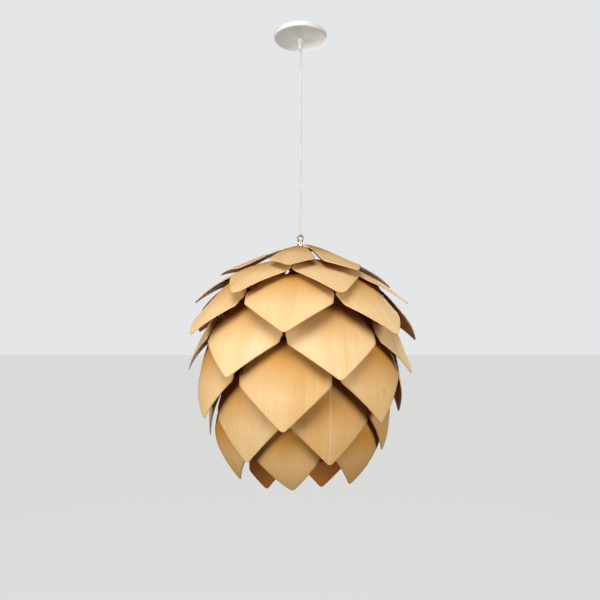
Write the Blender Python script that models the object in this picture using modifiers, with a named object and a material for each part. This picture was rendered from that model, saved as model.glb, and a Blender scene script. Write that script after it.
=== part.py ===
# Hanging lamp whose shade is a bud of bent wood-veneer leaves in staggered rows.
# Metres, +Z up, hung from the ceiling face of the canopy at the origin, viewer on the -Y side.
import bpy
import bmesh
import math
from mathutils import Matrix, Vector

MM = 0.001

# Veneer leaves. Every row lies on its own surface of revolution round the hanging axis.
LEAF_THICKNESS = 1.2 * MM
LEAF_COLUMNS = 4
GLUE_GAP = 0.3 * MM

# One entry a row, from the top down: leaves in a full turn, angle of leaf 0 from the viewer's side
# (degrees, positive to the viewer's right), tip radius and height (mm), lean of the tip from
# vertical (degrees, outwards), curl up the leaf (degrees per metre), half width at the shoulder,
# point below the shoulder, straight side above it, stem up to the foot, half width of the foot.
ROWS = {
    1: dict(turn=4, first=-7.0, tip=(160.0, -478.0), lean=62.0, curl=100.0, half=39.5, point=34.0,
            side=5.0, stem=124.0, foot=6.0),
    2: dict(turn=7, first=17.8, tip=(203.0, -530.5), lean=46.0, curl=200.0, half=59.0, point=65.0,
            side=14.0, stem=100.0, foot=23.0),
    3: dict(turn=7, first=-6.6, tip=(222.0, -592.5), lean=32.0, curl=150.0, half=74.5, point=57.0,
            side=24.0, stem=78.0, foot=40.0),
    4: dict(turn=7, first=17.4, tip=(210.0, -660.5), lean=16.5, curl=150.0, half=78.0, point=58.0,
            side=20.0, stem=78.0, foot=42.0),
    5: dict(turn=7, first=-8.2, tip=(192.5, -735.5), lean=-1.0, curl=150.0, half=76.5, point=67.0,
            side=22.0, stem=78.0, foot=46.0),
    6: dict(turn=7, first=17.4, tip=(160.5, -796.5), lean=-12.0, curl=150.0, half=70.5, point=64.0,
            side=20.0, stem=78.0, foot=42.0),
    7: dict(turn=7, first=-6.6, tip=(123.0, -848.0), lean=-33.0, curl=300.0, half=62.5, point=65.0,
            side=16.0, stem=70.0, foot=34.0),
    8: dict(turn=7, first=159.0, tip=(120.0, -903.0), lean=-1.0, curl=100.0, half=49.5, point=44.0,
            side=15.0, stem=65.0, foot=28.0),
}
# The lowest row holds two leaves only, both at the back.
LEAVES_IN_ROW = {row: spec["turn"] for row, spec in ROWS.items()}
LEAVES_IN_ROW[1] = 5
LEAVES_IN_ROW[8] = 2

# How single leaves differ from their row, by row and leaf: slip lower along the leaf (mm), turn
# round the axis, swing about the foot and tilt towards the axis (degrees), extra curl (degrees per
# metre), lift off the row's surface and cup of both edges (mm), droop of one edge (its side, mm,
# share of the length where it ends). Stem and foot may be the leaf's own.
FITTED = {
    (1, 0): dict(cup=1.5),
    (1, 1): dict(slip=21.0, curl=30.0, tilt=2.0, turn=10.0),
    (1, 2): dict(cup=1.5),
    (1, 3): dict(slip=-5.0, cup=4.0, droop=(1, 8.0, 1.0), stem=118.0),
    (1, 4): dict(slip=12.0, half=41.0, tilt=1.5, lift=3.4, droop=(1, 7.0, 1.0), turn=34.0, swing=8.0),
    (2, 0): dict(slip=-3.0, swing=-4.0, turn=4.5),
    (2, 1): dict(slip=7.0, curl=-35.0, tilt=5.0, lift=1.6),
    (2, 2): dict(tilt=2.0, lift=0.8),
    (2, 5): dict(tilt=2.0, lift=0.8),
    (2, 6): dict(slip=-5.0, turn=0.5),
    (3, 0): dict(slip=-4.0),
    (3, 1): dict(lift=1.0, droop=(1, 7.5, 1.0)),
    (3, 2): dict(slip=8.0, tilt=1.5, lift=0.6),
    (3, 5): dict(slip=-9.0, stem=69.0, turn=-0.5),
    (3, 6): dict(slip=-2.0, curl=-20.0, tilt=2.5, lift=1.0, droop=(-1, 5.0, 1.0), turn=-0.4),
    (4, 0): dict(slip=3.0),
    (4, 5): dict(slip=-5.0),
    (5, 0): dict(slip=9.0),
    (5, 1): dict(swing=0.5),
    (5, 2): dict(tilt=2.2, lift=1.0),
    (6, 0): dict(slip=6.5),
    (6, 1): dict(slip=-1.0, tilt=2.0, lift=0.8, swing=-1.5, turn=-0.5),
    (6, 5): dict(slip=-20.0, curl=-40.0, stem=58.0),
    (6, 6): dict(slip=6.0, turn=0.5),
    (7, 0): dict(slip=4.0, turn=-3.2, swing=3.0),
    (7, 1): dict(turn=-1.0),
    (7, 2): dict(slip=-24.0, tilt=4.0, lift=1.5, stem=48.0),
    (7, 6): dict(slip=-2.5, half=67.0, droop=(-1, -7.0, 1.0), turn=-1.0),
    (8, 1): dict(turn=4.0),
}

# Inner frame that the leaves are glued to.
BAND_SEGMENTS = 42
BAND_LENGTH = 11.0 * MM
BAND_THICKNESS = 1.5 * MM
BAND_FROM_FOOT = 3.0 * MM
FACET_RELIEF = 0.6 * MM
RIB_COUNT = 4
RIB_WIDTH = 8.0 * MM
RIB_THICKNESS = 2.0 * MM
RIB_BITE = 0.5 * MM
RIB_CLEARANCE = 9.0 * MM

# Hanging parts on the axis.
CANOPY_RADIUS = 51.5 * MM
CANOPY_TOP_RADIUS = 46.0 * MM
CANOPY_DEPTH = 12.0 * MM
CANOPY_WALL = 1.2 * MM
GRIP_LENGTH = 21.0 * MM
CORD_RADIUS = 1.9 * MM
CORD_TOP = -33.3 * MM
CORD_BOTTOM = -399.5 * MM
LOOP_CENTRE = -407.5 * MM
LOOP_RADIUS = 5.2 * MM
LOOP_WIRE = 1.65 * MM
NECK_RADIUS = 5.25 * MM
NECK_BOTTOM = -421.5 * MM
FLANGE_RADIUS = 6.4 * MM
FLANGE_BOTTOM = -423.0 * MM
STEM_RADIUS = 4.8 * MM
STEM_BOTTOM = -536.0 * MM
HOLDER_TOP = -536.3 * MM
HOLDER_BOTTOM = -595.0 * MM
BULB_BOTTOM = -689.0 * MM

for old in list(bpy.data.objects):
    bpy.data.objects.remove(old, do_unlink=True)

part_collection = bpy.data.collections.new("veneer_bud_pendant")
helper_collection = bpy.data.collections.new("build_helpers")
bpy.context.scene.collection.children.link(part_collection)
bpy.context.scene.collection.children.link(helper_collection)


def make_material(name, colour, roughness, metallic=0.0):
    material = bpy.data.materials.new(name)
    material.use_nodes = True
    shader = material.node_tree.nodes["Principled BSDF"]
    shader.inputs["Base Color"].default_value = (*colour, 1.0)
    shader.inputs["Roughness"].default_value = roughness
    shader.inputs["Metallic"].default_value = metallic
    return material


veneer = make_material("veneer", (0.84, 0.62, 0.33), 0.55)
frame_steel = make_material("frame_steel", (0.085, 0.065, 0.055), 0.5, 0.2)
nickel = make_material("nickel", (0.78, 0.77, 0.74), 0.25, 1.0)
white_enamel = make_material("white_enamel", (0.86, 0.86, 0.85), 0.35)
white_cord = make_material("white_cord", (0.82, 0.82, 0.81), 0.6)
white_plastic = make_material("white_plastic", (0.84, 0.84, 0.82), 0.45)
opal_glass = make_material("opal_glass", (0.95, 0.94, 0.90), 0.2)
zinc_steel = make_material("zinc_steel", (0.66, 0.67, 0.68), 0.4, 1.0)


def add_object(name, mesh, material, collection=part_collection):
    piece = bpy.data.objects.new(name, mesh)
    if material:
        mesh.materials.append(material)
    collection.objects.link(piece)
    return piece


def mesh_from(name, points, faces):
    mesh = bpy.data.meshes.new(name)
    mesh.from_pydata([tuple(p) for p in points], [], faces)
    mesh.update()
    return mesh


# Profile of a row: radius, height and lean at a distance down the leaf from its shoulder.
def row_point(spec, along, curl=0.0, tilt=0.0):
    tip_bend = math.radians(spec["curl"]) * MM
    tip_lean = math.radians(spec["lean"])
    full = tip_lean + tip_bend * (spec["stem"] + spec["point"])
    foot_radius = spec["tip"][0] - (math.cos(tip_lean) - math.cos(full)) / tip_bend
    foot_height = spec["tip"][1] + (math.sin(full) - math.sin(tip_lean)) / tip_bend
    full -= math.radians(tilt)
    bend = math.radians(spec["curl"] + curl) * MM
    lean = full - bend * (along + spec["stem"])
    radius = foot_radius + (math.cos(lean) - math.cos(full)) / bend
    height = foot_height - (math.sin(full) - math.sin(lean)) / bend
    return radius * MM, height * MM, lean


def on_axis(radius, height, turn):
    return Vector((radius * math.sin(turn), -radius * math.cos(turn), height))


# Leaf outline: half width (mm) at a distance down from the shoulder.
def half_width(spec, along):
    half, point, side, stem, foot = (spec[key] for key in ("half", "point", "side", "stem", "foot"))
    if along >= 0.0:
        return 4.0 + (half - 4.0) * (1.0 - along / point)
    if along >= -side:
        return half - 1.5 * along / side
    share = (along + stem) / (stem - side)
    return foot + (half + 1.5 - foot) * share


# A leaf's flat sheet laid on its row's surface, at a place across and down the leaf in mm.
def leaf_point(spec, fit, middle, across, along):
    stem = spec["stem"]
    swing = math.radians(fit.get("swing", 0.0))
    down = (along + stem) * math.cos(swing) - across * math.sin(swing) - stem
    sideways = across * math.cos(swing) + (along + stem) * math.sin(swing)
    radius, height, lean = row_point(spec, down + fit.get("slip", 0.0), fit.get("curl", 0.0),
                                     fit.get("tilt", 0.0))
    share = (along + stem) / (stem + spec["point"])
    inward = (fit.get("cup", 0.0) * (across / spec["half"]) ** 2 * min((along + stem) / stem, 1.0)
              - fit.get("lift", 0.0))
    edge, droop, end = fit.get("droop", (1, 0.0, 1.0))
    if across * edge > 0.0:
        bow = math.sin(math.pi * min(share / end, 1.0)) ** 1.5
        inward += droop * (abs(across) / spec["half"]) ** 1.3 * bow
    turn = middle + sideways * MM / radius
    return on_axis(radius - math.cos(lean) * inward * MM, height - math.sin(lean) * inward * MM, turn)


def make_leaf(row, index):
    fit = FITTED.get((row, index), {})
    spec = dict(ROWS[row])
    spec.update((key, fit[key]) for key in ("stem", "foot", "half") if key in fit)
    middle = math.radians(spec["first"] + fit.get("turn", 0.0) + index * 360.0 / spec["turn"])
    stem, side, point = spec["stem"], spec["side"], spec["point"]
    stations = [-stem, -stem * 0.78, -stem * 0.5, -side, 0.0, point * 0.35, point * 0.7, point * 0.95, point]
    points, faces = [], []
    for along in stations:
        reach = half_width(spec, along)
        if along == point * 0.95:
            reach *= 1.25
        for column in range(LEAF_COLUMNS + 1):
            across = reach * (2.0 * column / LEAF_COLUMNS - 1.0)
            points.append(leaf_point(spec, fit, middle, across, along))
    wide = LEAF_COLUMNS + 1
    for line in range(len(stations) - 1):
        for column in range(LEAF_COLUMNS):
            corner = line * wide + column
            faces.append((corner, corner + wide, corner + wide + 1, corner + 1))
    name = "leaf_%d_%d" % (row, index + 1)
    leaf = add_object(name, mesh_from(name, points, faces), veneer)
    sheet = leaf.modifiers.new("veneer_thickness", "SOLIDIFY")
    sheet.thickness = LEAF_THICKNESS
    sheet.offset = 0.0
    sheet.use_even_offset = True
    return leaf


for row in ROWS:
    for index in range(LEAVES_IN_ROW[row]):
        make_leaf(row, index)


# Closed body turned round the axis from a ring of (radius, height) points.
def turned_mesh(name, profile, segments, first=0.0):
    points, faces = [], []
    around = [first + 2.0 * math.pi * i / segments for i in range(segments)]
    rings = []
    for radius, height in profile:
        if radius < 1e-7:
            points.append(Vector((0.0, 0.0, height)))
            rings.append([len(points) - 1] * segments)
        else:
            rings.append(list(range(len(points), len(points) + segments)))
            points.extend(on_axis(radius, height, turn) for turn in around)
    closed = profile[0][0] > 1e-7 and profile[-1][0] > 1e-7
    pairs = list(zip(rings, rings[1:])) + ([(rings[-1], rings[0])] if closed else [])
    for upper, lower in pairs:
        for i in range(segments):
            j = (i + 1) % segments
            loop = []
            for v in (upper[i], lower[i], lower[j], upper[j]):
                if v not in loop:
                    loop.append(v)
            if len(loop) > 2:
                faces.append(tuple(loop))
    mesh = mesh_from(name, points, faces)
    shape = bmesh.new()
    shape.from_mesh(mesh)
    bmesh.ops.recalc_face_normals(shape, faces=shape.faces)
    shape.to_mesh(mesh)
    shape.free()
    return mesh


# Inner frame: a conical band behind the feet of each row, joined by ribs and a hub.
def band_line(row, along):
    radius, height, lean = row_point(ROWS[row], along / MM)
    inward = 0.5 * LEAF_THICKNESS + GLUE_GAP + FACET_RELIEF
    return radius, height, lean, inward


def inner_offset(radius, height, lean, distance):
    return radius - math.cos(lean) * distance, height - math.sin(lean) * distance


def band_profile(row):
    start = -ROWS[row]["stem"] * MM + BAND_FROM_FOOT
    outer, inner = [], []
    for along in (start, start + BAND_LENGTH):
        radius, height, lean, inward = band_line(row, along)
        outer.append(inner_offset(radius, height, lean, inward))
        inner.append(inner_offset(radius, height, lean, inward + BAND_THICKNESS))
    return outer + inner[::-1]


# Line of a rib: inside every band, and clear of the leaf ends above it.
def rib_line():
    line = []
    for row in ROWS:
        foot = -ROWS[row]["stem"] * MM
        if row == 1:
            reach = (foot + BAND_FROM_FOOT, foot + BAND_LENGTH)
        else:
            reach = (foot - RIB_CLEARANCE, foot + BAND_FROM_FOOT + BAND_LENGTH)
        for along in reach:
            radius, height, lean, inward = band_line(row, along)
            depth = inward + BAND_THICKNESS - RIB_BITE
            line.append((inner_offset(radius, height, lean, depth),
                         inner_offset(radius, height, lean, depth + RIB_THICKNESS)))
    return line


def rib_mesh(name, turn):
    line = rib_line()
    outer = [pair[0] for pair in line]
    inner = [pair[1] for pair in line]
    side = Vector((math.cos(turn), math.sin(turn), 0.0)) * RIB_WIDTH * 0.5
    points, faces = [], []
    for (outer_r, outer_z), (inner_r, inner_z) in zip(outer, inner):
        for radius, height, sign in ((outer_r, outer_z, 1), (outer_r, outer_z, -1),
                                     (inner_r, inner_z, -1), (inner_r, inner_z, 1)):
            points.append(on_axis(radius, height, turn) + side * sign)
    count = len(line)
    for step in range(count - 1):
        for edge in range(4):
            a = step * 4 + edge
            b = step * 4 + (edge + 1) % 4
            faces.append((a, b, b + 4, a + 4))
    faces.append((3, 2, 1, 0))
    last = (count - 1) * 4
    faces.append((last, last + 1, last + 2, last + 3))
    mesh = mesh_from(name, points, faces)
    shape = bmesh.new()
    shape.from_mesh(mesh)
    bmesh.ops.recalc_face_normals(shape, faces=shape.faces)
    shape.to_mesh(mesh)
    shape.free()
    return mesh


def helper(name, mesh):
    piece = add_object(name, mesh, frame_steel, helper_collection)
    piece.hide_render = True
    piece.display_type = "WIRE"
    return piece


def join(target, other):
    union = target.modifiers.new("weld_" + other.name, "BOOLEAN")
    union.operation = "UNION"
    union.solver = "EXACT"
    union.object = other


hub_radius, hub_height, hub_lean, hub_in = band_line(1, -ROWS[1]["stem"] * MM + BAND_FROM_FOOT)
hub_top = inner_offset(hub_radius, hub_height, hub_lean, hub_in)
rim_radius, rim_height, rim_lean, rim_in = band_line(1, -ROWS[1]["stem"] * MM + BAND_FROM_FOOT + BAND_LENGTH)
rim_top = inner_offset(rim_radius, rim_height, rim_lean, rim_in)
bore = STEM_RADIUS + 0.3 * MM
hub_profile = [(bore, hub_top[1]), hub_top, rim_top, (rim_top[0], rim_top[1] - 2.5 * MM),
               (bore, rim_top[1] - 2.5 * MM)]
frame = add_object("inner_frame", turned_mesh("inner_frame", hub_profile, 28), frame_steel)
for number in range(RIB_COUNT):
    turn = 2.0 * math.pi * number / RIB_COUNT
    join(frame, helper("rib_%d" % (number + 1), rib_mesh("rib_%d" % (number + 1), turn)))
for row in ROWS:
    if row > 1:
        first = math.radians(ROWS[row]["first"])
        name = "band_%d" % row
        join(frame, helper(name, turned_mesh(name, band_profile(row), BAND_SEGMENTS, first)))


# Stem and nut that hold the frame below the hanging loop.
def turned(name, profile, segments, material):
    return add_object(name, turned_mesh(name, profile, segments), material)


stem_top = FLANGE_BOTTOM - 0.3 * MM
turned("stem", [(0.0, stem_top), (STEM_RADIUS, stem_top), (STEM_RADIUS, STEM_BOTTOM), (0.0, STEM_BOTTOM)],
       20, zinc_steel)
nut_top = rim_top[1] - 2.5 * MM - 0.3 * MM
nut_bore = bore / math.cos(math.pi / 6)
turned("hub_nut", [(nut_bore, nut_top), (9.2 * MM, nut_top), (9.2 * MM, nut_top - 6.0 * MM),
                   (nut_bore, nut_top - 6.0 * MM)], 6, zinc_steel)

# Hanging loop: a ring rising from a short flanged neck, with a boss that takes the cord's end.
neck = turned_mesh("hang_loop", [(0.0, LOOP_CENTRE - 3.9 * MM), (3.2 * MM, LOOP_CENTRE - 4.0 * MM),
                                 (NECK_RADIUS, LOOP_CENTRE - 6.5 * MM), (NECK_RADIUS, NECK_BOTTOM),
                                 (FLANGE_RADIUS, NECK_BOTTOM), (FLANGE_RADIUS, FLANGE_BOTTOM),
                                 (0.0, FLANGE_BOTTOM)], 20)
loop = add_object("hang_loop", neck, nickel)
ring_mesh = bpy.data.meshes.new("loop_ring")
shape = bmesh.new()
sections, sides = 20, 8
ring_points = []
for i in range(sections):
    turn = 2.0 * math.pi * (i + 0.5) / sections
    ring_points.append([])
    for j in range(sides):
        tube = 2.0 * math.pi * (j + 0.5) / sides
        reach = LOOP_RADIUS + LOOP_WIRE * math.cos(tube)
        ring_points[-1].append(shape.verts.new((reach * math.sin(turn), LOOP_WIRE * math.sin(tube),
                                               LOOP_CENTRE + reach * math.cos(turn))))
for i in range(sections):
    for j in range(sides):
        next_ring, next_side = (i + 1) % sections, (j + 1) % sides
        shape.faces.new((ring_points[i][j], ring_points[i][next_side],
                         ring_points[next_ring][next_side], ring_points[next_ring][j]))
bmesh.ops.recalc_face_normals(shape, faces=shape.faces)
shape.to_mesh(ring_mesh)
shape.free()
join(loop, helper("loop_ring", ring_mesh))
boss_top = CORD_BOTTOM - 0.3 * MM
join(loop, helper("loop_boss", turned_mesh("loop_boss", [
    (0.0, boss_top), (2.3 * MM, boss_top), (3.0 * MM, boss_top - 1.0 * MM),
    (2.4 * MM, LOOP_CENTRE + 4.9 * MM), (0.0, LOOP_CENTRE + 4.9 * MM)], 16)))

# Lamp holder: a cup round the lamp's screw cap.
turned("lamp_holder", [(0.0, HOLDER_TOP), (8.0 * MM, HOLDER_TOP), (10.0 * MM, HOLDER_TOP - 2.0 * MM),
                       (12.0 * MM, HOLDER_TOP - 14.0 * MM), (19.0 * MM, HOLDER_TOP - 20.0 * MM),
                       (20.0 * MM, HOLDER_BOTTOM), (14.6 * MM, HOLDER_BOTTOM),
                       (14.6 * MM, HOLDER_TOP - 24.0 * MM), (0.0, HOLDER_TOP - 24.0 * MM)], 28, white_plastic)
cap_top = HOLDER_TOP - 25.0 * MM
turned("bulb_cap", [(0.0, cap_top), (5.0 * MM, cap_top), (7.0 * MM, cap_top - 2.5 * MM),
                    (13.0 * MM, cap_top - 6.0 * MM), (13.0 * MM, cap_top - 26.0 * MM),
                    (11.4 * MM, cap_top - 26.0 * MM), (11.4 * MM, cap_top - 9.0 * MM),
                    (0.0, cap_top - 9.0 * MM)], 24, zinc_steel)

# Bulb envelope: a thin glass skin, open at the neck inside the screw cap.
glass_line = [(11.0, 0.0), (11.0, 11.0), (16.5, 20.0), (24.0, 40.0), (29.0, 56.0), (30.0, 66.0),
              (27.5, 80.0), (20.0, 91.0), (10.0, 97.0), (0.0, 98.8)]
neck_top = cap_top - 15.5 * MM
stretch = (neck_top - BULB_BOTTOM) / (98.8 * MM)
outer = [(r * MM, neck_top - d * stretch * MM) for r, d in glass_line]
inner = [(max(r - 1.0, 0.0) * MM, neck_top - min(d, 97.8) * stretch * MM) for r, d in glass_line]
turned("bulb_glass", outer[::-1] + inner, 28, opal_glass)

# Ceiling parts: strap, canopy cup and the small grip that the cord leaves by.
strap = bpy.data.meshes.new("ceiling_strap")
shape = bmesh.new()
bmesh.ops.create_cube(shape, size=1.0, matrix=Matrix.Translation((0.0, 0.0, -1.0 * MM))
                      @ Matrix.Diagonal((76.0 * MM, 16.0 * MM, 2.0 * MM, 1.0)))
shape.to_mesh(strap)
shape.free()
add_object("ceiling_strap", strap, zinc_steel)

floor_z = -CANOPY_DEPTH
turned("canopy", [(CANOPY_TOP_RADIUS, 0.0), (CANOPY_TOP_RADIUS, -1.5 * MM), (CANOPY_RADIUS, -4.0 * MM),
                  (CANOPY_RADIUS, floor_z + 3.5 * MM), (CANOPY_RADIUS - 1.0 * MM, floor_z + 1.0 * MM),
                  (CANOPY_RADIUS - 3.5 * MM, floor_z), (0.0, floor_z), (0.0, floor_z + CANOPY_WALL),
                  (CANOPY_RADIUS - 4.0 * MM, floor_z + CANOPY_WALL),
                  (CANOPY_RADIUS - CANOPY_WALL - 0.6 * MM, floor_z + 3.5 * MM),
                  (CANOPY_RADIUS - CANOPY_WALL, -4.6 * MM), (CANOPY_TOP_RADIUS - CANOPY_WALL, -2.1 * MM),
                  (CANOPY_TOP_RADIUS - CANOPY_WALL, 0.0)], 48, white_enamel)
grip_top = floor_z - 0.3 * MM
turned("canopy_grip", [(0.0, grip_top), (5.6 * MM, grip_top), (5.6 * MM, grip_top - 3.0 * MM),
                       (4.2 * MM, grip_top - 5.0 * MM), (3.4 * MM, floor_z - GRIP_LENGTH),
                       (0.0, floor_z - GRIP_LENGTH)], 20, white_plastic)

# Cord, straight down from the grip to the loop.
cord_curve = bpy.data.curves.new("cord", "CURVE")
cord_curve.dimensions = "3D"
cord_curve.bevel_depth = CORD_RADIUS
cord_curve.bevel_resolution = 2
cord_curve.use_fill_caps = True
cord_curve.materials.append(white_cord)
line = cord_curve.splines.new("POLY")
cord_steps = 36
line.points.add(cord_steps)
for number, point in enumerate(line.points):
    height = CORD_TOP + (CORD_BOTTOM - CORD_TOP) * number / cord_steps
    point.co = (0.0, 0.0, height, 1.0)
cord = bpy.data.objects.new("cord", cord_curve)
part_collection.objects.link(cord)
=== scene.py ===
import math
import bmesh
import bpy
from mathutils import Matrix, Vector


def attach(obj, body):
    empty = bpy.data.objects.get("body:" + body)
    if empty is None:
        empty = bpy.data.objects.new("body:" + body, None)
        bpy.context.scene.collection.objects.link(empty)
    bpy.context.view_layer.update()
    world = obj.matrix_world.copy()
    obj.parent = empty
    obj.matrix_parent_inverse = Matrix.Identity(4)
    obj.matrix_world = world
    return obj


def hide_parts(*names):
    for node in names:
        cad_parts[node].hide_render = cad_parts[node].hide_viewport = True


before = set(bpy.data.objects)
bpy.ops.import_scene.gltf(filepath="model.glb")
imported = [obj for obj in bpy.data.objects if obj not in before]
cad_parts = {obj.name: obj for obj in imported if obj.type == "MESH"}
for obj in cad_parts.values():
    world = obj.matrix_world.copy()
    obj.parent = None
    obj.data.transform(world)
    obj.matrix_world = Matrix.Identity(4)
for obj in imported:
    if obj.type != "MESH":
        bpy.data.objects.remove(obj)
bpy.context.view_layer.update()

mm = 0.001
same = 1e-6          # closer than this is one place
print("frame loaded:", len(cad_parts), "nodes")


# camera, at the photograph's angle
view = {"lens": 35.0, "sensor": 36.0, "near": 0.01, "shift": -0.00075, "distance": 1112.0,
        "height": -600.0, "pitch": 3.8}
cameraData = bpy.data.cameras.new("camera")
cameraData.lens = view["lens"]
cameraData.sensor_width = view["sensor"]
cameraData.clip_start = view["near"]
cameraData.shift_x = view["shift"]
camera = bpy.data.objects.new("camera", cameraData)
camera.location = (0.0, -view["distance"] * mm, view["height"] * mm)
camera.rotation_euler = (math.radians(90.0 + view["pitch"]), 0.0, 0.0)
bpy.context.collection.objects.link(camera)
bpy.context.scene.camera = camera


# cord, taut from the grip under the canopy to the hanging loop
cord = {"top": -33.3, "bottom": -399.5, "diameter": 3.8, "points": 37}
cordLine = bpy.data.curves.new("white_cord", "CURVE")
cordLine.dimensions = "3D"
cordLine.bevel_depth = 1.0          # the points' radius sets the thickness
cordLine.bevel_resolution = 6
cordLine.use_fill_caps = True
route = cordLine.splines.new("POLY")
route.points.add(cord["points"] - 1)
for number, point in enumerate(route.points):
    share = number / (cord["points"] - 1)
    point.co = (0.0, 0.0, (cord["top"] + (cord["bottom"] - cord["top"]) * share) * mm, 1.0)
    point.radius = cord["diameter"] * 0.5 * mm
cordPiece = bpy.data.objects.new("white_cord", cordLine)
bpy.context.collection.objects.link(cordPiece)
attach(cordPiece, "root")
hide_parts("cord")
print("cord laid")


# shader maths: an output socket that can be added to and multiplied
class Wire:
    def __init__(self, graph, socket):
        self.graph = graph
        self.socket = socket

    def __add__(self, other):
        return self.graph.maths("ADD", self, other)

    def __radd__(self, other):
        return self.graph.maths("ADD", other, self)

    def __mul__(self, other):
        return self.graph.maths("MULTIPLY", self, other)

    def __rmul__(self, other):
        return self.graph.maths("MULTIPLY", other, self)


class Finish:
    def __init__(self, name, **settings):
        self.material = bpy.data.materials.new(name)
        self.material.use_nodes = True
        self.tree = self.material.node_tree
        self.shader = self.tree.nodes["Principled BSDF"]
        for socket, value in settings.items():
            self.set(socket, value)

    # any node: its settings first, then the values or links of its sockets, by name or as i and a number
    def node(self, kind, settings=None, output=0, **sockets):
        node = self.tree.nodes.new(kind)
        for key, value in (settings or {}).items():
            if key == "stops":
                self.stops(node, value)
            else:
                setattr(node, key, value)
        for key, value in sockets.items():
            if key[0] == "i" and key[1:].isdigit():
                target = node.inputs[int(key[1:])]
            else:
                target = node.inputs[key.replace("_", " ")]
            self.feed(target, value)
        return Wire(self, node.outputs[output])

    def stops(self, node, stops):
        ramp = node.color_ramp
        while len(ramp.elements) > 2:
            ramp.elements.remove(ramp.elements[-1])
        while len(ramp.elements) < len(stops):
            ramp.elements.new(0.5)
        for element, (place, colour) in zip(ramp.elements, stops):
            element.position = place
            element.color = (*colour, 1.0)

    def feed(self, target, value):
        if isinstance(value, Wire):
            self.tree.links.new(value.socket, target)
        elif target.type == "RGBA":
            target.default_value = (*value, 1.0)
        else:
            target.default_value = value

    def set(self, socket, value):
        self.feed(self.shader.inputs[socket.replace("_", " ")], value)

    def maths(self, operation, first, second=0.0):
        return self.node("ShaderNodeMath", {"operation": operation}, i0=first, i1=second)

    def objectPlace(self, scale):
        place = self.node("ShaderNodeTexCoord", output="Object")
        return self.node("ShaderNodeMapping", Vector=place, Scale=scale)

    def sheetPlace(self, scale, shift=(0.0, 0.0, 0.0)):
        place = self.node("ShaderNodeUVMap", {"uv_map": "sheet"})
        return self.node("ShaderNodeMapping", Vector=place, Scale=scale, Location=shift)

    def kept(self, name):
        return self.node("ShaderNodeAttribute", {"attribute_name": name}, output="Fac")

    def noise(self, place, detail=3.0, roughness=0.5, distortion=0.0):
        return self.node("ShaderNodeTexNoise", Vector=place, Scale=1.0, Detail=detail,
                         Roughness=roughness, Distortion=distortion)

    def ramp(self, factor, *stops):
        return self.node("ShaderNodeValToRGB", {"stops": stops}, Fac=factor)

    def span(self, value, low, high, to=(0.0, 1.0)):
        return self.node("ShaderNodeMapRange", {"interpolation_type": "SMOOTHSTEP"}, Value=value,
                         From_Min=low, From_Max=high, To_Min=to[0], To_Max=to[1])

    def mix(self, amount, first, second):
        return self.node("ShaderNodeMix", {"data_type": "RGBA"}, output=2, i0=amount, i6=first, i7=second)

    def bump(self, height, depth, strength):
        bump = self.node("ShaderNodeBump", Height=height, Distance=depth, Strength=strength)
        self.set("Normal", bump)


# a piece from a bmesh: smooth, on the root body, standing for its node
def makePiece(name, shape, finish, node):
    for face in shape.faces:
        face.smooth = True
    mesh = bpy.data.meshes.new(name)
    shape.to_mesh(mesh)
    shape.free()
    mesh.materials.append(finish)
    piece = bpy.data.objects.new(name, mesh)
    bpy.context.collection.objects.link(piece)
    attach(piece, "root")
    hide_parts(node)
    return piece


# a line of (radius, height) in mm spun round the axis, its sharp rings rounded
def turnedShape(line, steps, closed=False, edge=0.0, sharp=30.0):
    shape = bmesh.new()
    verts = [shape.verts.new((radius * mm, 0.0, height * mm)) for radius, height in line]
    pairs = list(zip(verts, verts[1:])) + ([(verts[-1], verts[0])] if closed else [])
    edges = [shape.edges.new(pair) for pair in pairs]
    bmesh.ops.spin(shape, geom=verts + edges, cent=(0.0, 0.0, 0.0), axis=(0.0, 0.0, 1.0),
                   angle=2.0 * math.pi, steps=steps, use_merge=True)
    bmesh.ops.remove_doubles(shape, verts=shape.verts, dist=same)
    bmesh.ops.recalc_face_normals(shape, faces=shape.faces)
    if edge:
        rings = []
        for side in shape.edges:
            first, second = (vert.co for vert in side.verts)
            if (len(side.link_faces) == 2 and abs(first.z - second.z) < same * 0.1
                    and abs(first.xy.length - second.xy.length) < same * 0.1
                    and side.calc_face_angle() > math.radians(sharp)):
                rings.append(side)
        bmesh.ops.bevel(shape, geom=rings, offset=edge * mm, segments=3, profile=0.5,
                        affect="EDGES", material=-1, clamp_overlap=True)
    return shape


# veneer: warm and pale, fine straight grain down the leaf, soft figure, short pores, a rare pin knot;
# inner is the painted shade of the faces inside the lamp
wood = {"light": (0.890, 0.700, 0.430), "middle": (0.840, 0.620, 0.330), "dark": (0.730, 0.480, 0.200),
        "deep": (0.600, 0.275, 0.045), "pore": (0.340, 0.150, 0.040), "inner": (0.370, 0.105, 0.020),
        "joint": (0.930, 0.740, 0.440), "innerShadeShare": 0.75}
# how often each pattern repeats in a metre, across the leaf and along it
grain = {"broad": (14.0, 2.0, 1.0), "figure": (80.0, 4.0, 1.0), "fibre": (700.0, 16.0, 1.0),
         "pore": (1300.0, 110.0, 1.0), "cloud": (26.0, 26.0, 1.0), "knot": (15.0, 8.0, 1.0),
         "knotShift": (0.37, 0.61, 0.0)}


# depth makes a painted-shade copy of the veneer, darker, browner and less glossy, for the faces inside
# the lamp
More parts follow.
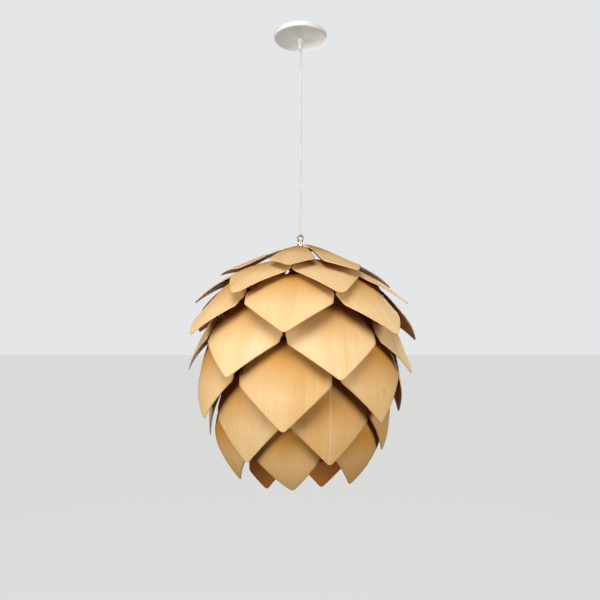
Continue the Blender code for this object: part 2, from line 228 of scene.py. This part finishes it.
def makeVeneer(name, depth=0.0):
    finish = Finish(name, Coat_Weight=0.05 * (1.0 - depth), Coat_Roughness=0.4,
                    Specular_IOR_Level=0.3 * (1.0 - depth))
    broad = finish.noise(finish.sheetPlace(grain["broad"]), detail=3.0, roughness=0.55, distortion=0.7)
    figure = finish.noise(finish.sheetPlace(grain["figure"]), detail=4.0, roughness=0.6, distortion=0.5)
    fibre = finish.noise(finish.sheetPlace(grain["fibre"]), detail=2.0, roughness=0.6)
    pore = finish.noise(finish.sheetPlace(grain["pore"]), detail=1.0)
    cloud = finish.noise(finish.sheetPlace(grain["cloud"]), detail=2.0)
    colour = finish.ramp(broad * 0.55 + figure * 0.45, (0.30, wood["dark"]), (0.48, wood["middle"]),
                         (0.68, wood["light"]))
    colour = finish.mix(finish.span(fibre, 0.28, 0.75, (0.0, 0.30)), colour, wood["light"])
    colour = finish.mix(finish.span(cloud, 0.35, 0.70, (0.16, 0.0)), colour, wood["dark"])
    colour = finish.mix(finish.span(pore, 0.61, 0.72, (0.0, 0.20)), colour, wood["pore"])
    flatCells = {"voronoi_dimensions": "2D"}
    place = finish.sheetPlace(grain["knot"], grain["knotShift"])
    knot = finish.node("ShaderNodeTexVoronoi", flatCells, Vector=place, Scale=1.0)
    cell = finish.node("ShaderNodeTexVoronoi", flatCells, output="Color", Vector=place, Scale=1.0)
    chance = finish.node("ShaderNodeSeparateColor", Color=cell)
    chosen = finish.span(chance, 0.80, 0.84)                             # about one cell in five
    ring = finish.span(knot, 0.020, 0.075, (1.0, 0.0)) * chosen
    core = finish.span(knot, 0.008, 0.028, (1.0, 0.0)) * chosen
    colour = finish.mix(ring * 0.35, colour, wood["deep"])
    colour = finish.mix(core * 0.55, colour, wood["pore"])
    colour = finish.mix(finish.kept("tone"), colour, wood["deep"])       # painted shade: browner towards the foot under the row above, in the lower rows and a little at the side edges, with a random spread from leaf to leaf
    splice = finish.maths("ABSOLUTE", finish.kept("splice"))
    colour = finish.mix(finish.span(splice, 0.0004, 0.0016, (0.32, 0.0)), colour, wood["joint"])
    rim = finish.kept("inset")
    colour = finish.mix(finish.span(rim, 0.0004, 0.0030, (0.22, 0.0)), colour, wood["deep"])
    if depth:
        colour = finish.mix(depth, colour, wood["inner"])
    finish.set("Base_Color", colour)
    finish.set("Roughness", finish.span(figure, 0.3, 0.7, (0.46, 0.60)))
    finish.bump(fibre * 0.6 + pore * 0.4, 0.00012, 0.5)
    return finish.material


# cut edge of the veneer: light plies in soft broken streaks
def makeVeneerEdge():
    finish = Finish("veneer_edge", Roughness=0.62)
    streak = finish.noise(finish.objectPlace((260.0, 260.0, 900.0)), detail=2.0)
    broad = finish.noise(finish.objectPlace((30.0, 30.0, 30.0)), detail=2.0)
    colour = finish.ramp(broad * 0.5 + streak * 0.5, (0.34, (0.72, 0.46, 0.24)),
                         (0.52, (0.88, 0.66, 0.40)), (0.70, (0.94, 0.76, 0.52)))
    finish.set("Base_Color", colour)
    finish.bump(streak, 0.00010, 0.4)
    return finish.material


leafFinishes = [makeVeneer("veneer_outer"), makeVeneer("veneer_inner_painted_shade", wood["innerShadeShare"]),
                makeVeneerEdge()]
print("veneer mixed")


# leaves: a flat grid cut to the leaf's outline, then bent on its row's surface round the axis.
# A row: leaves a turn, angle of the first, tip radius and height, lean of the tip, curl, and outline
leaf = {"thickness": 1.2, "across": 26, "down": 52, "cornerRound": 3.0, "tipCut": 4.0, "bulge": 1.5,
        "narrowest": 0.35, "tipCrowding": 1.5}
tipRound = {1: 7.0, 2: 14.0, 3: 9.0, 4: 9.0, 5: 7.0, 6: 7.0, 7: 7.0, 8: 7.0}
rows = {
    1: dict(turn=4, first=-7.0, tip=(160.0, -478.0), lean=62.0, curl=100.0, half=39.5, point=34.0,
            side=5.0, stem=124.0, foot=6.0),
    2: dict(turn=7, first=17.8, tip=(203.0, -530.5), lean=46.0, curl=200.0, half=59.0, point=65.0,
            side=14.0, stem=100.0, foot=23.0),
    3: dict(turn=7, first=-6.6, tip=(222.0, -592.5), lean=32.0, curl=150.0, half=74.5, point=57.0,
            side=24.0, stem=78.0, foot=40.0),
    4: dict(turn=7, first=17.4, tip=(210.0, -660.5), lean=16.5, curl=150.0, half=78.0, point=58.0,
            side=20.0, stem=78.0, foot=42.0),
    5: dict(turn=7, first=-8.2, tip=(192.5, -735.5), lean=-1.0, curl=150.0, half=76.5, point=67.0,
            side=22.0, stem=78.0, foot=46.0),
    6: dict(turn=7, first=17.4, tip=(160.5, -796.5), lean=-12.0, curl=150.0, half=70.5, point=64.0,
            side=20.0, stem=78.0, foot=42.0),
    7: dict(turn=7, first=-6.6, tip=(123.0, -848.0), lean=-33.0, curl=300.0, half=62.5, point=65.0,
            side=16.0, stem=70.0, foot=34.0),
    8: dict(turn=7, first=159.0, tip=(120.0, -903.0), lean=-1.0, curl=100.0, half=49.5, point=44.0,
            side=15.0, stem=65.0, foot=28.0),
}
leavesInRow = {1: 5, 2: 7, 3: 7, 4: 7, 5: 7, 6: 7, 7: 7, 8: 2}
# leaves that sit a little off their row. slip and lift are mm along the leaf and off the surface,
# turn is degrees round the lamp, and swing and tilt turn the leaf about its foot. curl adds to the
# row's bend, cup bows the middle out, and droop lowers one edge. stem and half are sizes of their own
fitted = {
    (1, 0): dict(cup=1.5),
    (1, 1): dict(slip=21.0, curl=30.0, tilt=2.0, turn=10.0),
    (1, 2): dict(cup=1.5),
    (1, 3): dict(slip=-5.0, cup=4.0, droop=(1, 8.0), stem=118.0),
    (1, 4): dict(slip=12.0, half=41.0, tilt=1.5, lift=3.4, droop=(1, 7.0), turn=34.0, swing=8.0),
    (2, 0): dict(slip=-3.0, swing=-4.0, turn=4.5),
    (2, 1): dict(slip=7.0, curl=-35.0, tilt=5.0, lift=1.6),
    (2, 2): dict(tilt=2.0, lift=0.8),
    (2, 5): dict(tilt=2.0, lift=0.8),
    (2, 6): dict(slip=-5.0, turn=0.5),
    (3, 0): dict(slip=-4.0),
    (3, 1): dict(lift=1.0, droop=(1, 7.5)),
    (3, 2): dict(slip=8.0, tilt=1.5, lift=0.6),
    (3, 5): dict(slip=-9.0, stem=69.0, turn=-0.5),
    (3, 6): dict(slip=-2.0, curl=-20.0, tilt=2.5, lift=1.0, droop=(-1, 5.0), turn=-0.4),
    (4, 0): dict(slip=3.0),
    (4, 5): dict(slip=-5.0),
    (5, 0): dict(slip=9.0),
    (5, 1): dict(swing=0.5),
    (5, 2): dict(tilt=2.2, lift=1.0),
    (6, 0): dict(slip=6.5),
    (6, 1): dict(slip=-1.0, tilt=2.0, lift=0.8, swing=-1.5, turn=-0.5),
    (6, 5): dict(slip=-20.0, curl=-40.0, stem=58.0),
    (6, 6): dict(slip=6.0, turn=0.5),
    (7, 0): dict(slip=4.0, turn=-3.2, swing=3.0),
    (7, 1): dict(turn=-1.0),
    (7, 2): dict(slip=-24.0, tilt=4.0, lift=1.5, stem=48.0),
    (7, 6): dict(slip=-2.5, half=67.0, droop=(-1, -7.0), turn=-1.0),
    (8, 1): dict(turn=4.0),
}
# share of the deep colour, painted shade for the most part: by row, darker down the lamp and darkest on
# the shaded bottom row, what single leaves have more, and how it fades from the foot; vary is a random
# spread from leaf to leaf
rowShade = {1: 0.24, 2: 0.20, 3: 0.10, 4: 0.02, 5: 0.26, 6: 0.52, 7: 0.52, 8: 0.90}
leafShadeAndTone = {(6, 6): -0.28, (5, 6): -0.02, (5, 1): 0.10, (4, 6): -0.02, (7, 1): 0.05, (6, 1): -0.05}
shadeAndToneFade = {"foot": 1.02, "slope": 1.65, "hem": 0.10, "vary": 0.035}
# mm from the middle of the leaf to a light joint in its veneer
splices = {(6, 0): -2.0, (2, 2): 12.0, (4, 3): -24.0, (5, 4): 15.0, (6, 3): 9.0, (3, 4): -30.0}


def rowPoint(spec, along, curl=0.0, tilt=0.0):
    tipBend = math.radians(spec["curl"]) * mm
    tipLean = math.radians(spec["lean"])
    full = tipLean + tipBend * (spec["stem"] + spec["point"])
    footRadius = spec["tip"][0] - (math.cos(tipLean) - math.cos(full)) / tipBend
    footHeight = spec["tip"][1] + (math.sin(full) - math.sin(tipLean)) / tipBend
    full -= math.radians(tilt)
    bend = math.radians(spec["curl"] + curl) * mm
    lean = full - bend * (along + spec["stem"])
    return (footRadius + (math.cos(lean) - math.cos(full)) / bend,
            footHeight - (math.sin(full) - math.sin(lean)) / bend, lean)


def leafPoint(spec, fit, middle, across, along):
    stem = spec["stem"]
    swing = math.radians(fit.get("swing", 0.0))
    down = (along + stem) * math.cos(swing) - across * math.sin(swing) - stem
    sideways = across * math.cos(swing) + (along + stem) * math.sin(swing)
    radius, height, lean = rowPoint(spec, down + fit.get("slip", 0.0), fit.get("curl", 0.0),
                                    fit.get("tilt", 0.0))
    inward = (fit.get("cup", 0.0) * (across / spec["half"]) ** 2 * min((along + stem) / stem, 1.0)
              - fit.get("lift", 0.0))
    edge, droop = fit.get("droop", (1, 0.0))
    if across * edge > 0.0:
        bow = math.sin(math.pi * min((along + stem) / (stem + spec["point"]), 1.0)) ** 1.5
        inward += droop * (abs(across) / spec["half"]) ** 1.3 * bow
    turn = middle + sideways / radius
    radius -= math.cos(lean) * inward
    height -= math.sin(lean) * inward
    return Vector((radius * math.sin(turn), -radius * math.cos(turn), height)) * mm


# where the rounded tip ends
def tipEnd(spec):
    apex = spec["point"] * spec["half"] / (spec["half"] - leaf["tipCut"])
    return apex - tipRound[spec["row"]] * (1.0 / math.sin(math.atan2(spec["half"], apex)) - 1.0)


def softMin(first, second, rounding):
    blend = max(rounding - abs(first - second), 0.0) / rounding
    return min(first, second) - blend * blend * rounding * 0.25


# half width of the leaf, with softened shoulders and a rounded tip
def halfWidth(spec, along):
    half, point, side, stem, foot = (spec[key] for key in ("half", "point", "side", "stem", "foot"))
    stemLine = foot + (half + leaf["bulge"] - foot) * (along + stem) / (stem - side)
    sideLine = half - leaf["bulge"] * along / side
    apex = point * half / (half - leaf["tipCut"])
    edge = math.atan2(half, apex)
    radius = tipRound[spec["row"]]
    centre = apex - radius / math.sin(edge)
    if along > centre + radius * math.sin(edge):
        return math.sqrt(max(radius * radius - (along - centre) ** 2, 0.0))
    pointLine = half * (1.0 - along / apex)
    return softMin(softMin(stemLine, sideLine, leaf["cornerRound"]), pointLine, leaf["cornerRound"])


def makeLeaf(row, index):
    fit = fitted.get((row, index), {})
    spec = dict(rows[row], row=row)
    spec.update((key, fit[key]) for key in ("stem", "half") if key in fit)
    middle = math.radians(spec["first"] + fit.get("turn", 0.0) + index * 360.0 / spec["turn"])
    stem, point = spec["stem"], tipEnd(spec)
    shape = bmesh.new()
    uv = shape.loops.layers.uv.new("sheet")
    kept = [shape.verts.layers.float.new(key) for key in ("tone", "splice", "inset")]
    bmesh.ops.create_grid(shape, x_segments=leaf["across"], y_segments=leaf["down"], size=1.0)
    shift = Vector(((row * 7 + index) * 0.173, (row * 5 + index * 3) * 0.291))
    vary = shadeAndToneFade["vary"] * math.sin(row * 5.1 + index * 2.3)
    tone = max(rowShade[row] + leafShadeAndTone.get((row, index), 0.0) + vary, 0.0)
    splice = splices.get((row, index))
    flat = {}
    for vert in shape.verts:
        share = 0.5 - 0.5 * vert.co.y
        share = 1.0 - (1.0 - share) ** leaf["tipCrowding"]
        along = -stem + (stem + point) * share
        reach = max(halfWidth(spec, along), leaf["narrowest"])
        across = vert.co.x * reach
        # painted shade: darker towards the foot, where the row above overlaps, and a little towards the
        # side edges
        fade = max(shadeAndToneFade["foot"] - shadeAndToneFade["slope"] * (along + stem) / (stem + point), 0.0)
        hem = shadeAndToneFade["hem"] * abs(vert.co.x) ** 4
        vert[kept[0]] = min(tone + min(fade + hem, 1.0), 1.0)
        vert[kept[1]] = 1.0 if splice is None else (across - splice) * mm
        vert[kept[2]] = min((1.0 - abs(vert.co.x)) * reach, point - along) * mm
        flat[vert] = Vector((across, along)) * mm + shift
        vert.co = leafPoint(spec, fit, middle, across, along)
    for face in shape.faces:
        for loop in face.loops:
            loop[uv].uv = flat[loop.vert]
    outward = leafPoint(spec, {"lift": 10.0}, middle, 0.0, 0.0) - leafPoint(spec, {}, middle, 0.0, 0.0)
    shape.normal_update()
    if sum(face.normal.dot(outward) for face in shape.faces) < 0.0:
        bmesh.ops.reverse_faces(shape, faces=shape.faces)
    piece = makePiece("veneer_leaf_%d_%d" % (row, index + 1), shape, leafFinishes[0],
                      "leaf_%d_%d" % (row, index + 1))
    for finish in leafFinishes[1:]:
        piece.data.materials.append(finish)
    sheet = piece.modifiers.new("thickness", "SOLIDIFY")
    sheet.thickness = leaf["thickness"] * mm
    sheet.offset = 0.0
    sheet.material_offset = 1
    sheet.material_offset_rim = 2


for row in rows:
    for index in range(leavesInRow[row]):
        makeLeaf(row, index)
print("leaves made:", sum(leavesInRow.values()))


# white sheath of the cord: smooth, a little uneven along its length
def makeCordSheath():
    finish = Finish("cord_sheath", Coat_Weight=0.15, Coat_Roughness=0.25)
    run = finish.noise(finish.objectPlace((40.0, 40.0, 18.0)), detail=3.0)
    fine = finish.noise(finish.objectPlace((900.0, 900.0, 300.0)), detail=2.0)
    finish.set("Base_Color", finish.ramp(run, (0.35, (0.58, 0.58, 0.57)), (0.65, (0.68, 0.68, 0.67))))
    finish.set("Roughness", finish.span(fine, 0.3, 0.7, (0.42, 0.56)))
    finish.bump(run * 0.7 + fine * 0.3, 0.00010, 0.4)
    return finish.material


# satin enamel on spun steel: faint orange peel and soft clouds
def makeEnamel():
    finish = Finish("satin_enamel", Coat_Weight=0.25, Coat_Roughness=0.18)
    peel = finish.noise(finish.objectPlace((420.0, 420.0, 420.0)), detail=2.0)
    cloud = finish.noise(finish.objectPlace((22.0, 22.0, 22.0)), detail=3.0)
    finish.set("Base_Color", finish.ramp(cloud, (0.30, (0.70, 0.70, 0.69)), (0.70, (0.77, 0.77, 0.76))))
    finish.set("Roughness", finish.span(cloud, 0.3, 0.7, (0.30, 0.42)))
    finish.bump(peel, 0.00006, 0.35)
    return finish.material


# moulded white plastic: finer texture, slightly warmer and duller than the enamel
def makePlastic():
    finish = Finish("white_moulding", IOR=1.46)
    grain = finish.noise(finish.objectPlace((1600.0, 1600.0, 1600.0)), detail=2.0)
    cloud = finish.noise(finish.objectPlace((60.0, 60.0, 60.0)), detail=2.0)
    finish.set("Base_Color", finish.ramp(cloud, (0.30, (0.78, 0.78, 0.76)), (0.70, (0.85, 0.85, 0.83))))
    finish.set("Roughness", finish.span(grain, 0.3, 0.7, (0.36, 0.50)))
    finish.bump(grain, 0.00004, 0.5)
    return finish.material


# nickel: slightly warm, with a haze of fine handling marks, and on the ring a patchy brown film that is
# painted reflection of the wood and the dark surroundings
def makeNickel(name, paintedReflection):
    finish = Finish(name, Metallic=1.0)
    haze = finish.noise(finish.objectPlace((300.0, 300.0, 300.0)), detail=4.0)
    marks = finish.noise(finish.objectPlace((2600.0, 2600.0, 240.0)), detail=1.0)
    clean = finish.ramp(haze, (0.35, (0.74, 0.67, 0.58)), (0.65, (0.86, 0.81, 0.75)))
    # painted reflection: a brown film, patchy with the haze
    film = finish.span(haze, 0.2, 0.8, (paintedReflection, paintedReflection * 0.8))
    finish.set("Base_Color", finish.mix(film, clean, (0.20, 0.14, 0.10)))
    finish.set("Roughness", finish.span(marks, 0.35, 0.70, (0.22, 0.36)))
    finish.bump(marks, 0.00002, 0.3)
    return finish.material


# zinc plate: bluish grey with soft spangle and dull spots
def makeZinc():
    finish = Finish("zinc_plate", Metallic=1.0)
    place = finish.objectPlace((240.0, 240.0, 240.0))
    spangle = finish.node("ShaderNodeTexVoronoi", Vector=place, Scale=1.0)
    dull = finish.noise(finish.objectPlace((130.0, 130.0, 130.0)), detail=4.0)
    finish.set("Base_Color", finish.ramp(spangle * 0.4 + dull * 0.6, (0.30, (0.46, 0.47, 0.48)),
                                         (0.70, (0.68, 0.69, 0.71))))
    finish.set("Roughness", finish.span(dull, 0.3, 0.7, (0.28, 0.48)))
    finish.bump(dull, 0.00003, 0.4)
    return finish.material


# dark paint on the frame's steel strip: matt, worn through in small patches
def makeFramePaint():
    finish = Finish("frame_paint")
    cloud = finish.noise(finish.objectPlace((35.0, 35.0, 35.0)), detail=3.0)
    peel = finish.noise(finish.objectPlace((700.0, 700.0, 700.0)), detail=2.0)
    patches = finish.noise(finish.objectPlace((180.0, 180.0, 60.0)), detail=5.0, roughness=0.7)
    worn = finish.span(patches, 0.66, 0.74)
    colour = finish.ramp(cloud, (0.30, (0.060, 0.045, 0.038)), (0.70, (0.095, 0.075, 0.062)))
    finish.set("Base_Color", finish.mix(worn, colour, (0.22, 0.20, 0.18)))
    finish.set("Roughness", finish.span(peel, 0.3, 0.7, (0.42, 0.58)))
    finish.set("Metallic", worn * 0.8)
    finish.bump(peel, 0.00006, 0.5)
    return finish.material


# opal glass: white, glossy skin over a milky body with faint clouds
def makeOpal():
    finish = Finish("opal_glass", Roughness=0.12, Coat_Weight=0.5, Coat_Roughness=0.05, IOR=1.5)
    cloud = finish.noise(finish.objectPlace((24.0, 24.0, 40.0)), detail=3.0)
    finish.set("Base_Color", finish.ramp(cloud, (0.30, (0.88, 0.87, 0.83)), (0.70, (0.95, 0.945, 0.92))))
    ripple = finish.noise(finish.objectPlace((90.0, 90.0, 30.0)), detail=1.0)
    finish.bump(ripple, 0.00008, 0.2)
    return finish.material


cordSheath, enamel, plastic = makeCordSheath(), makeEnamel(), makePlastic()
nickel, ringNickel = makeNickel("polished_nickel", 0.0), makeNickel("ring_nickel_painted_reflection", 0.75)
zinc, framePaint, opal = makeZinc(), makeFramePaint(), makeOpal()
cordLine.materials.append(cordSheath)
print("finishes mixed")


# canopy: a spun steel cup, narrower at the ceiling, with a rolled lower rim
canopy = {"radius": 51.5, "topRadius": 46.0, "depth": 12.0, "wall": 1.2, "roll": 2.6, "lip": 1.5,
          "shoulder": 4.0, "crease": 35.0}


def makeCanopy():
    radius, top, depth, wall = (canopy[key] for key in ("radius", "topRadius", "depth", "wall"))
    line = [(top, 0.0), (top, -canopy["lip"]), (radius, -canopy["shoulder"]), (radius, -depth),
            (0.0, -depth), (0.0, wall - depth), (radius - wall, wall - depth),
            (radius - wall, -canopy["shoulder"] - 0.5), (top - wall, -canopy["lip"] - 0.6),
            (top - wall, 0.0)]
    shape = turnedShape(line, steps=128, closed=True)
    foot = [vert for vert in shape.verts if abs(vert.co.z + depth * mm) < same
            and vert.co.xy.length > radius * mm - 10.0 * same]
    rim = [edge for edge in shape.edges if edge.verts[0] in foot and edge.verts[1] in foot]
    bmesh.ops.bevel(shape, geom=rim, offset=canopy["roll"] * mm, segments=6, profile=0.5, affect="EDGES",
                    material=-1, clamp_overlap=True)
    piece = makePiece("ceiling_canopy", shape, enamel, "canopy")
    piece.data.set_sharp_from_angle(angle=math.radians(canopy["crease"]))


# cord grip: collar against the canopy, knurled barrel, tapered nose
grip = {"top": -12.3, "length": 20.7, "collar": 5.6, "collarDepth": 2.6, "barrel": 4.7, "ribs": 9,
        "ribsStart": 4.2, "ribPitch": 1.1, "ribDepth": 0.35, "nose": 3.3, "noseLength": 5.4}


def makeGrip():
    top, barrel, nose = grip["top"], grip["barrel"], grip["nose"]
    end = top - grip["length"]
    collarEnd = top - grip["collarDepth"]
    line = [(0.0, top), (grip["collar"], top), (grip["collar"], collarEnd), (barrel, collarEnd - 0.8)]
    for rib in range(grip["ribs"]):
        start = top - grip["ribsStart"] - rib * grip["ribPitch"]
        line += [(barrel, start), (barrel - grip["ribDepth"], start - 0.35), (barrel, start - 0.75)]
    line += [(barrel - 0.3, end + grip["noseLength"]), (nose, end + 0.8), (nose - 0.6, end), (0.0, end)]
    shape = turnedShape(line, steps=64, edge=0.25, sharp=40.0)
    makePiece("cord_grip", shape, plastic, "canopy_grip")


# hanging loop: a wire ring on a turned neck, with a small boss over the cord's end
loop = {"centre": -407.5, "radius": 5.2, "wire": 1.65, "neck": 5.25, "groove": 12.0, "neckEnd": -421.5,
        "flange": 6.4, "flangeEnd": -423.0, "boss": 3.0, "bossEnd": 4.9}


def makeLoop():
    centre, neck, groove = loop["centre"], loop["neck"], loop["centre"] - loop["groove"]
    shape = bmesh.new()
    wire = bmesh.ops.create_circle(shape, segments=24, radius=loop["wire"] * mm)
    bmesh.ops.translate(shape, verts=wire["verts"], vec=(loop["radius"] * mm, 0.0, centre * mm))
    bmesh.ops.spin(shape, geom=shape.verts[:] + shape.edges[:], cent=(0.0, 0.0, centre * mm),
                   axis=(0.0, 1.0, 0.0), angle=2.0 * math.pi, steps=72, use_merge=True)
    bmesh.ops.remove_doubles(shape, verts=shape.verts, dist=same)
    bmesh.ops.recalc_face_normals(shape, faces=shape.faces)
    makePiece("loop_ring", shape, ringNickel, "hang_loop")
    line = [(0.0, centre - 3.9), (3.0, centre - 4.0), (neck, centre - 6.4), (neck, groove),
            (neck - 0.5, groove - 0.4), (neck, groove - 0.8), (neck, loop["neckEnd"]),
            (loop["flange"], loop["neckEnd"]), (loop["flange"], loop["flangeEnd"]),
            (0.0, loop["flangeEnd"])]
    shape = turnedShape(line, steps=72, edge=0.35, sharp=25.0)
    makePiece("loop_neck", shape, nickel, "hang_loop")
    top, end = cord["bottom"] - 0.3, centre + loop["bossEnd"]
    line = [(0.0, top), (loop["boss"] - 0.7, top), (loop["boss"], top - 1.0), (loop["boss"] - 0.6, end),
            (0.0, end)]
    shape = turnedShape(line, steps=48, edge=0.3, sharp=25.0)
    makePiece("loop_boss", shape, nickel, "hang_loop")


# threaded stem that holds the hub's clamp; the thread is a row of fine ridges
stemPart = {"top": -423.3, "end": -536.0, "radius": 4.8, "pitch": 1.25, "depth": 0.45, "chamfer": 0.5}


def makeStem():
    top, end, radius = stemPart["top"], stemPart["end"], stemPart["radius"]
    pitch, chamfer = stemPart["pitch"], stemPart["chamfer"]
    line = [(0.0, top), (radius - chamfer, top)]
    for turn in range(int((top - end - 2.0 * chamfer) / pitch)):
        height = top - chamfer - turn * pitch
        line += [(radius, height - pitch * 0.25), (radius - stemPart["depth"], height - pitch * 0.75)]
    line += [(radius - chamfer, end), (0.0, end)]
    makePiece("threaded_stem", turnedShape(line, steps=40), zinc, "stem")


# lamp holder: a stepped shell with grip ribs round its skirt and an open mouth
holder = {"top": -536.3, "end": -595.0, "mouth": 14.6, "floor": 24.0, "skirt": 20.0, "ribs": 7,
          "ribsStart": 25.0, "ribPitch": 4.0, "ribDepth": 0.6}


def makeHolder():
    top, end, mouth, skirt = (holder[key] for key in ("top", "end", "mouth", "skirt"))
    valley, inside = skirt - holder["ribDepth"], top - holder["floor"]
    line = [(0.0, top), (8.0, top), (10.0, top - 2.0), (12.0, top - 14.0), (18.6, top - 20.0),
            (skirt - 0.8, top - 22.0)]
    for rib in range(holder["ribs"]):
        start = top - holder["ribsStart"] - rib * holder["ribPitch"]
        line += [(valley, start), (skirt, start - 0.8), (skirt, start - 2.2), (valley, start - 3.0)]
    line += [(skirt, end + 1.6), (skirt, end), (mouth, end), (mouth, inside), (0.0, inside)]
    shape = turnedShape(line, steps=96, edge=0.35, sharp=35.0)
    makePiece("bulb_holder", shape, plastic, "lamp_holder")


# bulb: a rolled screw cap and a blown opal envelope
bulb = {"capTop": -561.3, "cap": 13.0, "capInside": 11.4, "capLength": 26.0, "thread": 3.4, "turns": 5,
        "neck": 15.5, "end": -689.0, "wall": 1.0,
        "outline": [(11.0, 0.0), (11.0, 11.0), (16.5, 20.0), (20.5, 29.5), (24.0, 40.0), (27.2, 49.0),
                    (29.0, 56.0), (30.0, 66.0), (27.5, 80.0), (20.0, 91.0), (10.0, 97.0), (0.0, 98.8)]}


def makeBulb():
    top, cap, inside = bulb["capTop"], bulb["cap"], bulb["capInside"]
    end = top - bulb["capLength"]
    line = [(0.0, top), (5.0, top), (7.0, top - 2.5), (cap - 1.0, top - 5.6)]
    for turn in range(bulb["turns"]):
        height = top - 7.0 - turn * bulb["thread"]
        line += [(cap, height - 0.5), (cap - 0.2, height - 1.2), (cap - 1.1, height - 2.2),
                 (cap - 0.2, height - 3.0)]
    line += [(cap, end), (inside, end), (inside, top - 9.0), (0.0, top - 9.0)]
    makePiece("bulb_screw_cap", turnedShape(line, steps=72), zinc, "bulb_cap")
    outline, wall, neck = bulb["outline"], bulb["wall"], top - bulb["neck"]
    length = outline[-1][1]
    drop = (neck - bulb["end"]) / length
    line = [(radius, neck - down * drop) for radius, down in outline]
    line += [(max(radius - wall, 0.0), neck - min(down, length - wall) * drop)
             for radius, down in outline[::-1]]
    shape = turnedShape(line, steps=72, closed=True)
    piece = makePiece("bulb_envelope", shape, opal, "bulb_glass")
    smooth = piece.modifiers.new("blown", "SUBSURF")
    smooth.levels = smooth.render_levels = 1


makeCanopy()
makeGrip()
makeLoop()
makeStem()
makeHolder()
makeBulb()
for name, finish in (("inner_frame", framePaint), ("hub_nut", zinc), ("ceiling_strap", zinc)):
    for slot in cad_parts[name].material_slots:
        slot.material = finish
print("hanging parts made")


# stage and light
stage = {"floor": -2.3, "reach": 60.0, "dull": (0.16, 0.16, 0.16), "pale": (0.80, 0.80, 0.79),
         "glow": 0.86, "seen": (0.78, 0.79, 0.80), "ambient": (0.95, 0.97, 1.0), "strength": 0.06}
lamps = {
    "key": {"place": (-0.30, -1.70, 1.10), "aim": (0.0, 0.0, -0.62), "size": 1.4, "power": 40.5,
            "colour": (1.0, 0.965, 0.91)},
    "left": {"place": (-1.85, -1.35, -0.45), "aim": (0.0, 0.0, -0.72), "size": 1.2, "power": 36.0,
             "colour": (1.0, 0.96, 0.90)},
    "right": {"place": (1.85, -1.35, -0.45), "aim": (0.0, 0.0, -0.72), "size": 1.2, "power": 31.0,
              "colour": (1.0, 0.96, 0.90)},
    "back": {"place": (0.6, 2.4, -0.45), "aim": (0.0, 0.0, -0.62), "size": 1.6, "power": 40.0,
             "colour": (1.0, 0.97, 0.93)},
}
canopyLight = {"place": (-0.95, -0.25, -0.68), "power": 80.0, "size": 0.20, "cone": 9.0, "blend": 0.5}


# the floor and the backdrop are pale to the eye, but throw little light back on the lamp
def makeStage():
    shape = bmesh.new()
    bmesh.ops.create_grid(shape, x_segments=1, y_segments=1, size=stage["reach"])
    bmesh.ops.translate(shape, verts=shape.verts, vec=(0.0, 0.0, stage["floor"]))
    mesh = bpy.data.meshes.new("floor")
    shape.to_mesh(mesh)
    shape.free()
    floor = bpy.data.objects.new("floor", mesh)
    bpy.context.collection.objects.link(floor)
    floor.visible_diffuse = False
    floor.visible_glossy = False
    pale = Finish("pale_floor", Base_Color=stage["dull"], Roughness=0.9, Emission_Color=stage["pale"],
                  Emission_Strength=stage["glow"])
    pale.material.cycles.emission_sampling = "NONE"
    mesh.materials.append(pale.material)
    world = bpy.data.worlds.new("studio")
    world.use_nodes = True
    tree = world.node_tree
    ambient = tree.nodes["Background"]
    ambient.inputs["Color"].default_value = (*stage["ambient"], 1.0)
    ambient.inputs["Strength"].default_value = stage["strength"]
    seen = tree.nodes.new("ShaderNodeBackground")
    seen.name = "seen"
    seen.inputs["Color"].default_value = (*stage["seen"], 1.0)
    path, blend = tree.nodes.new("ShaderNodeLightPath"), tree.nodes.new("ShaderNodeMixShader")
    tree.links.new(path.outputs["Is Camera Ray"], blend.inputs["Fac"])
    tree.links.new(ambient.outputs["Background"], blend.inputs[1])
    tree.links.new(seen.outputs["Background"], blend.inputs[2])
    tree.links.new(blend.outputs["Shader"], tree.nodes["World Output"].inputs["Surface"])
    bpy.context.scene.world = world


def placeLamp(data, place, aim):
    lamp = bpy.data.objects.new(data.name, data)
    lamp.location = place
    lamp.rotation_euler = (Vector(aim) - Vector(place)).to_track_quat("-Z", "Y").to_euler()
    bpy.context.collection.objects.link(lamp)


def makeLights():
    for name, spec in lamps.items():
        data = bpy.data.lights.new(name, "AREA")
        data.shape = "DISK"
        data.size = spec["size"]
        data.energy = spec["power"]
        data.color = spec["colour"]
        placeLamp(data, spec["place"], spec["aim"])
    data = bpy.data.lights.new("canopy_light", "SPOT")
    data.energy = canopyLight["power"]
    data.shadow_soft_size = canopyLight["size"]
    data.spot_size = math.radians(canopyLight["cone"])
    data.spot_blend = canopyLight["blend"]
    placeLamp(data, canopyLight["place"], (0.0, 0.0, 0.0))


makeStage()
makeLights()
bpy.context.scene.view_settings.view_transform = "Standard"
print("stage and lights set")
